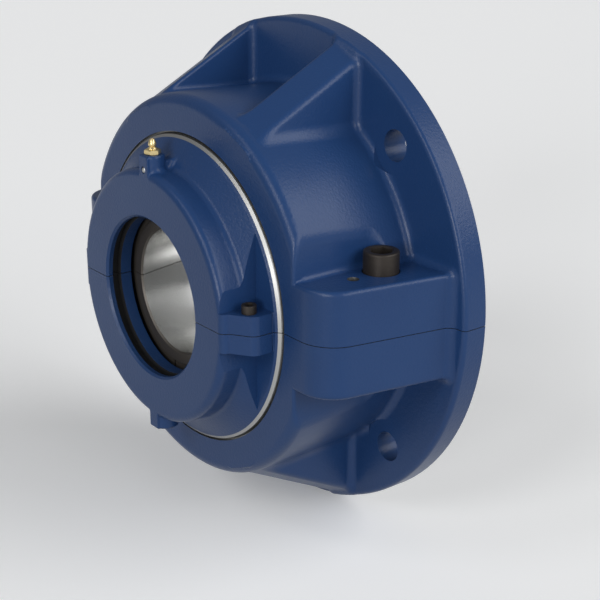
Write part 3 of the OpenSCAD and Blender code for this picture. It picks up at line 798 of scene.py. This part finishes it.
def ear_outline(s):
    """Outline of one ear seen from above: the nose's round edge, then a front that slants back."""
    front = CARTRIDGE_LOW.y + 0.05 * MM
    round_x, round_y = s.nose_r - s.nose_round, front + s.nose_round
    edge = [(round_x + s.nose_round * sin(t), round_y - s.nose_round * cos(t))
            for t in np.linspace(0, 0.46 * pi, 12)]
    centre_x = s.ear_x - s.ear_r
    touch_x = centre_x + s.ear_r * sin(s.ear_slant)
    touch_y = front + s.ear_start + (touch_x - s.nose_r) * tan(s.ear_slant)
    bend = [(centre_x + s.ear_r * sin(t), touch_y + s.ear_r * (cos(s.ear_slant) - cos(t)))
            for t in np.linspace(s.ear_slant, pi / 2, 10)]
    inside_x = s.cavity_r + MM
    return [(inside_x, round_y)] + edge + bend + [(s.ear_x, -s.band_y), (inside_x, -s.band_y)]


def machine_cartridge(made, half):
    """Cuts every machined face of one cartridge half and sets its ears on their flats."""
    s = settings().cartridge
    shared = settings().casting
    nose_y = -CARTRIDGE_LOW.y
    far = 0.2
    corners = [(side, end) for end in (-1, 1) for side in (-1, 1)]
    notches = []
    for side, end in corners:
        xs = sorted((side * s.notch_x, side * far))
        ys = sorted((end * s.shoulder_y, end * far))
        notches.append(block("notch", (xs[0], ys[0], -far), (xs[1], ys[1], far), 1))
    carve(made, notches)
    carve(made, [prism("ear", [(side * x, -end * y) for x, y in ear_outline(s)],
                       -half * MM, half * s.ear_h, "z", 1) for side, end in corners], "UNION")
    lean = (s.shoulder_y - s.band_y) / (sqrt(s.ball_r ** 2 - s.band_y ** 2) - s.shoulder_r)
    strip = [(s.shoulder_r + out, s.shoulder_y - out * lean) for out in (-2 * MM, s.strip_w)]
    ring = [(far, strip[0][1])] + strip + arc(s.ball_r, s.band_y, -s.band_y, 48)
    ring += [(r, -y) for r, y in strip[::-1] + ring[:1]]
    tools = [turned("ring", ring, [1, 1] + [2] * 49 + [1, 1, 1], shared.facets)]
    groove = nose_y - s.lip
    way = [(0, nose_y + MM), (s.bore_r + s.mouth + MM, nose_y + MM), (s.bore_r, nose_y - s.mouth),
           (s.bore_r, groove), (s.bore_r + s.groove_d, groove),
           (s.bore_r + s.groove_d, groove - s.groove_w), (s.bore_r, groove - s.groove_w),
           (s.bore_r, s.cavity_y), (s.cavity_r, s.cavity_y), (s.cavity_r, s.race_y),
           (s.race_r, s.race_y)]
    way += [(r, -y) for r, y in way[::-1]]
    # slot 3, the seal groove's faces, takes the black painted shade
    slots = [1, 1, 1, 3, 3, 3] + [1] * 9 + [3, 3, 3, 1, 1, 1, 1]
    tools.append(turned("way", way, slots, shared.facets))
    tools += [prism("ear_hole", circle(side * s.screw_x, end * s.screw_y, s.screw_r, 32),
                    -far, far, "z", 2) for side, end in corners]
    if half > 0:
        tools.append(prism("plug_hole", circle(0, s.plug_z, s.plug_r, 32),
                           -far, 2 * s.plug_r - nose_y, "y", 1))
    carve(made, tools + [joint_block(half, shared.joint)])


class BEARING_OT_housing(bpy.types.Operator):
    """Make the two halves of the housing casting"""
    bl_idname = "bearing.housing"
    bl_label = "Housing"

    def execute(self, context):
        pad = 4 * MM
        low = (HOUSING_LOW.x - pad, HOUSING_LOW.y - pad, -3 * pad)
        high = (HOUSING_HIGH.x + pad, HOUSING_HIGH.y + pad, HOUSING_HIGH.z + pad)
        points, faces = skin(housing_field, low, high)
        for half, node in ((1, "housing_upper"), (-1, "housing_lower")):
            made = mesh_object(node + "_casting", points * (1, 1, half), faces[:, ::half])
            carve(made, housing_cutters(half))
            shade(made, housing_field, half)
            place_piece(made, "housing", "blue_paint", node, "paint", "paint", "iron")
        return {"FINISHED"}


class BEARING_OT_cartridge(bpy.types.Operator):
    """Make the two halves of the swivel cartridge"""
    bl_idname = "bearing.cartridge"
    bl_label = "Cartridge"

    def execute(self, context):
        s = settings().cartridge
        pad = 4 * MM
        low = (-s.ball_r - pad, CARTRIDGE_LOW.y - pad, -3 * pad)
        high = (s.ball_r + pad, -CARTRIDGE_LOW.y + pad, s.ball_r + pad)
        for half, node, boss_r, top in ((1, "cartridge_upper", s.boss_r, s.boss_top),
                                        (-1, "cartridge_lower", s.plain_r, s.plain_top)):
            field = cartridge_field(boss_r, top)
            points, faces = skin(field, low, high)
            made = mesh_object(node + "_casting", points * (1, 1, half), faces[:, ::half])
            machine_cartridge(made, half)
            shade(made, field, half)
            # the last finish paints the seal groove black as painted shade
            place_piece(made, "cartridge", "blue_paint", node,
                        "paint", "paint", "bright", "groove")
        return {"FINISHED"}


def screw_body(name, size, shank):
    """A socket head screw along Z, the underside of its head at zero."""
    head_r = 0.7 * size + 0.8 * MM
    edge, rim = 0.04 * size, 0.08 * size
    profile = [(0, -shank), (0.42 * size, -shank), (0.5 * size, rim - shank), (0.5 * size, 0),
               (head_r - edge, 0), (head_r, edge)]
    profile += [(head_r - rim + rim * cos(t), size - rim + rim * sin(t))
                for t in np.linspace(0, pi / 2, 8)]
    made = turned(name, profile + [(0, size)], [0], 96, "z")
    socket = prism("socket", circle(0, 0, 0.5 * size, 6), 0.45 * size, 2 * size)
    mouth = [(0, 0.36), (0.42, 0.46), (0.42, 0.93), (0.53, 1), (0.6, 1.05), (0, 1.05)]
    mouth = turned("mouth", [(r * size, z * size) for r, z in mouth], [0], 96, "z")
    carve(made, [socket, mouth])
    shade(made)
    return made


def screw_set():
    """A node group that sets a screw at every point and turns each by a random part of a flat."""
    tree = bpy.data.node_groups.new("screw_set", "GeometryNodeTree")
    for name, kind in (("Places", "Geometry"), ("Screw", "Object"), ("Turn", "Vector"),
                       ("Seed", "Int"), ("Finish", "Material")):
        tree.interface.new_socket(name=name, in_out="INPUT", socket_type="NodeSocket" + kind)
    tree.interface.new_socket(name="Screws", in_out="OUTPUT", socket_type="NodeSocketGeometry")
    graph = Graph(tree)
    given = graph.node("NodeGroupInput")
    screw = graph.node("GeometryNodeObjectInfo", {}, {"Object": given.output("Screw")})
    turn = graph.node("FunctionNodeRandomValue", {"data_type": "FLOAT_VECTOR"}, {
        0: (0, 0, 0), 1: given.output("Turn"), "Seed": given.output("Seed")})
    turn = graph.node("FunctionNodeEulerToRotation", {}, {0: turn})
    screws = graph.node("GeometryNodeInstanceOnPoints", {}, {
        "Points": given.output("Places"), "Instance": screw.output("Geometry"),
        "Rotation": turn})
    screws = graph.node("GeometryNodeRealizeInstances", {}, {0: screws})
    screws = graph.node("GeometryNodeSetMaterial", {}, {
        "Geometry": screws, "Material": given.output("Finish")})
    graph.node("NodeGroupOutput", {}, {0: screws})
    return tree


class BEARING_OT_screws(bpy.types.Operator):
    """Make the socket head screws of the housing and of the cartridge"""
    bl_idname = "bearing.screws"
    bl_label = "Screws"

    def execute(self, context):
        s = settings()
        tree = screw_set()
        lug, ear = s.housing, s.cartridge
        in_lugs = [(side * lug.screw_x, lug.screw_y, lug.lug_h - lug.spot_d) for side in (1, -1)]
        in_ears = [(side * ear.screw_x, end * ear.screw_y, ear.ear_h)
                   for end in (1, -1) for side in (1, -1)]
        for body, size, shank, places in (
                ("housing", s.screws.housing_d, s.screws.housing_l, in_lugs),
                ("cartridge", s.screws.ear_d, s.screws.ear_l, in_ears)):
            screw = screw_body("screw", size, shank)
            made = mesh_object(body + "_socket_screws", places, [])
            modifier = made.modifiers.new("screws", "NODES")
            modifier.node_group = tree
            given = {"Screw": screw, "Turn": (0, 0, pi / 3), "Seed": s.screws.seed,
                     "Finish": finish("black")}
            for item in tree.interface.items_tree:
                if item.name in given:
                    modifier[item.identifier] = given[item.name]
            settle(made)
            bpy.data.meshes.remove(screw.data)
            place_piece(made, body, "black_steel", body + "_screws", "black")
        return {"FINISHED"}


class BEARING_OT_nipple(bpy.types.Operator):
    """Make the brass grease nipple"""
    bl_idname = "bearing.nipple"
    bl_label = "Grease nipple"

    def execute(self, context):
        s = settings().screws
        boss = settings().cartridge
        corner = s.nipple_af / sqrt(3)
        bevel = 0.13 * s.nipple_af
        lens = [(0, 0), (corner - bevel, 0), (corner, 0.5 * bevel),
                (corner, s.nipple_h - 0.6 * bevel), (corner - bevel, s.nipple_h), (0, s.nipple_h)]
        # the turned body in millimetres: stem, neck and ball head with its dimple
        body = [(0, -6), (3.6, -6), (3.9, -5.7), (3.9, 0.5), (3.4, 3), (3.4, 3.9), (2.6, 4.9),
                (1.9, 5.1), (1.9, 5.4), (2.5, 5.8), (2.8, 6.4), (2.85, 7), (2.6, 8.2), (2.05, 9.5),
                (1.5, 10.3), (1, 10.5), (0.7, 10.5), (0.6, 10), (0, 9.8)]
        made = prism("nipple_hexagon", circle(0, 0, corner, 6), 0, s.nipple_h)
        carve(made, [turned("lens", lens, [0], 96, "z")], "INTERSECT")
        made.data.transform(Matrix.Rotation(s.nipple_turn, 4, "Z"))
        body = turned("nipple", [(r * MM, z * MM) for r, z in body], [0], 64, "z")
        carve(made, [body], "UNION")
        made.data.transform(Matrix.Translation((0, CARTRIDGE_LOW.y + boss.boss_r, boss.boss_top)))
        shade(made)
        place_piece(made, "cartridge", "brass", "grease_nipple", "brass")
        return {"FINISHED"}


class BEARING_OT_race(bpy.types.Operator):
    """Make the two halves of the inner race, parted by a slanted joint"""
    bl_idname = "bearing.race"
    bl_label = "Inner race"

    def execute(self, context):
        s = settings().race
        end = RACE_HIGH.y
        edge, lip_end, lip_r = s.chamfer, s.lip_y + s.lip_w, s.track_r + s.lip_h
        side = [(s.shaft_r, end - edge), (s.shaft_r + edge, end), (s.seat_r - edge, end),
                (s.seat_r, end - edge), (s.seat_r, lip_end), (lip_r, lip_end), (lip_r, s.lip_y),
                (s.track_r, s.lip_y)]
        profile = side + [(r, -y) for r, y in side[::-1]]
        slots = [1, 1, 1, 1, 0, 0, 0, 0, 0, 0, 0, 1, 1, 1, 1, 0]
        lean = Matrix.Rotation(s.turn, 4, "Y") @ Matrix.Rotation(s.slant, 4, "X")
        for half, node in ((1, "inner_race_upper"), (-1, "inner_race_lower")):
            made = turned(node + "_ground", profile, slots, settings().casting.facets)
            space = joint_block(half, s.joint)
            space.data.transform(lean)
            carve(made, [space])
            shade(made)
            place_piece(made, "inner_race", "race_steel", node,
                        "steel", "dark_steel", "dark_steel")
        return {"FINISHED"}


class BEARING_OT_finishes(bpy.types.Operator):
    """Give every model node that stays in view its finish"""
    bl_idname = "bearing.finishes"
    bl_label = "Finishes"

    def execute(self, context):
        slots = {part["node"]: part["material_slot"] for part in frame["record"]["subparts"]}
        by_slot = {"blue_paint": "paint", "black_steel": "black", "race_steel": "steel",
                   "bright_steel": "bright", "brass": "brass"}
        for node, made in frame["nodes"].items():
            name = "cage" if node in ("cage_upper", "cage_lower") else by_slot[slots[node]]
            name = "dark_steel" if node.startswith("clamp_ring") else name
            # the dowels get blackened steel, which dowels can have, and which also serves as
            # painted shade that darkens their holes
            name = "black" if node == "housing_dowels" else name
            made.data.materials.clear()
            made.data.materials.append(finish(name))
        return {"FINISHED"}


# Each lamp's name, the side it shines from, its softness in degrees and its level
LAMPS = (
    ("front", (0.5, -0.83, 0.17), 20, 0.36),
    ("high", (0.2, -0.79, 0.58), 20, 0.18),
    ("top", (-0.2, -0.63, 0.75), 14, 0.06),
    ("right", (0.93, 0.05, 0.36), 36, 0.3),
    ("side", (0.62, 0.53, 0.57), 44, 0.4),
)
SKY_LIGHT, SKY_SEEN = 0.1, 0.3       # the sky's strength on the object, and as a backdrop
FLOOR_SHADE, FLOOR_GLOW = 0.2, 0.2   # share of the floor's colour that lights, and its glow
FLOOR_REACH, FLOOR_GAP = 14, 0.0005  # half the floor's width, and the gap under the bearing
CAMERA_PLACE = (0.7313, -0.5008, 0.3077)
CAMERA_AZIMUTH, CAMERA_ELEVATION = radians(52.144), radians(20.115)
CAMERA_LENS, CAMERA_SENSOR = 77.39, 36   # millimetres


class BEARING_OT_stage(bpy.types.Operator):
    """Set the plain floor, the soft light and the camera"""
    bl_idname = "bearing.stage"
    bl_label = "Stage"

    def execute(self, context):
        scene = context.scene
        scene.view_settings.view_transform = "Standard"
        corners = [(x * FLOOR_REACH, y * FLOOR_REACH, CAD_BOX[0][2] - FLOOR_GAP)
                   for x, y in ((-1, -1), (1, -1), (1, 1), (-1, 1))]
        floor = mesh_object("floor", corners, [(0, 1, 2, 3)])
        backdrop = settings().colours.backdrop

        def pale(graph, place):
            seen = graph.seen()
            shade = [FLOOR_SHADE * c for c in backdrop]
            return {"Base Color": graph.blend(seen, shade, backdrop),
                    "Emission Color": graph.blend(seen, (0, 0, 0), backdrop)}
        fixed = {"Roughness": 0.8, "Emission Strength": FLOOR_GLOW}
        floor.data.materials.append(new_material("floor", fixed, pale))
        self.world(scene, backdrop)
        for name, place, spread, level in LAMPS:
            self.lamp(scene, name, Vector(place), spread, level)
        self.camera(scene)
        return {"FINISHED"}

    def world(self, scene, backdrop):
        """A soft even sky, which the camera and polished metal see as the pale backdrop."""
        world = bpy.data.worlds.new("studio")
        world.use_nodes = True
        world.node_tree.nodes.clear()
        graph = Graph(world.node_tree)
        light, back = (
            graph.node("ShaderNodeBackground", {}, {"Color": tint, "Strength": strength})
            for tint, strength in (((1, 1, 1, 1), SKY_LIGHT), ((*backdrop, 1), SKY_SEEN)))
        both = graph.node("ShaderNodeMixShader", {}, {0: graph.seen(), 1: light, 2: back})
        graph.node("ShaderNodeOutputWorld", {}, {"Surface": both})
        scene.world = world

    def lamp(self, scene, name, place, spread, level):
        """A soft far lamp that shines from that side."""
        light = bpy.data.lights.new(name, "SUN")
        light.angle = radians(spread)
        light.energy = pi * level
        made = bpy.data.objects.new(name, light)
        made.location = place
        made.rotation_euler = (-place).to_track_quat("-Z", "Y").to_euler()
        scene.collection.objects.link(made)

    def camera(self, scene):
        """The camera at the photograph's angle."""
        data = bpy.data.cameras.new("camera")
        data.lens = CAMERA_LENS
        data.sensor_width = CAMERA_SENSOR
        data.clip_end = 4 * FLOOR_REACH
        made = bpy.data.objects.new("camera", data)
        made.location = CAMERA_PLACE
        made.rotation_euler = (pi / 2 - CAMERA_ELEVATION, 0, CAMERA_AZIMUTH)
        scene.collection.objects.link(made)
        scene.camera = made


class BEARING_PT_panel(bpy.types.Panel):
    """Lists the bearing's pieces, sizes and colours"""
    bl_idname = "BEARING_PT_panel"
    bl_label = "Split Roller Bearing"
    bl_space_type = "VIEW_3D"
    bl_region_type = "UI"
    bl_category = "Bearing"

    def draw(self, context):
        for operator in OPERATORS:
            self.layout.operator(operator.bl_idname)
        for name in BearingSettings.__annotations__:
            group = getattr(context.scene.bearing, name)
            box = self.layout.box()
            box.label(text=name.capitalize())
            for size in type(group).__annotations__:
                box.prop(group, size)


GROUPS = (CastingSizes, HousingSizes, CartridgeSizes, ScrewSizes, RaceSizes, FinishColours,
          BearingSettings)
OPERATORS = (BEARING_OT_stage, BEARING_OT_finishes, BEARING_OT_housing, BEARING_OT_cartridge,
             BEARING_OT_screws, BEARING_OT_nipple, BEARING_OT_race)
CLASSES = GROUPS + OPERATORS + (BEARING_PT_panel,)


def register():
    for cls in CLASSES:
        bpy.utils.register_class(cls)
    bpy.types.Scene.bearing = PointerProperty(type=BearingSettings, name="Bearing",
                                              description="Sizes and colours of the bearing")


def unregister():
    del bpy.types.Scene.bearing
    for cls in reversed(CLASSES):
        bpy.utils.unregister_class(cls)


def main():
    """Builds the whole bearing."""
    register()
    for operator in OPERATORS:
        group, name = operator.bl_idname.split(".")
        getattr(getattr(bpy.ops, group), name)()
    bpy.context.view_layer.update()


if __name__ == "__main__":
    main()
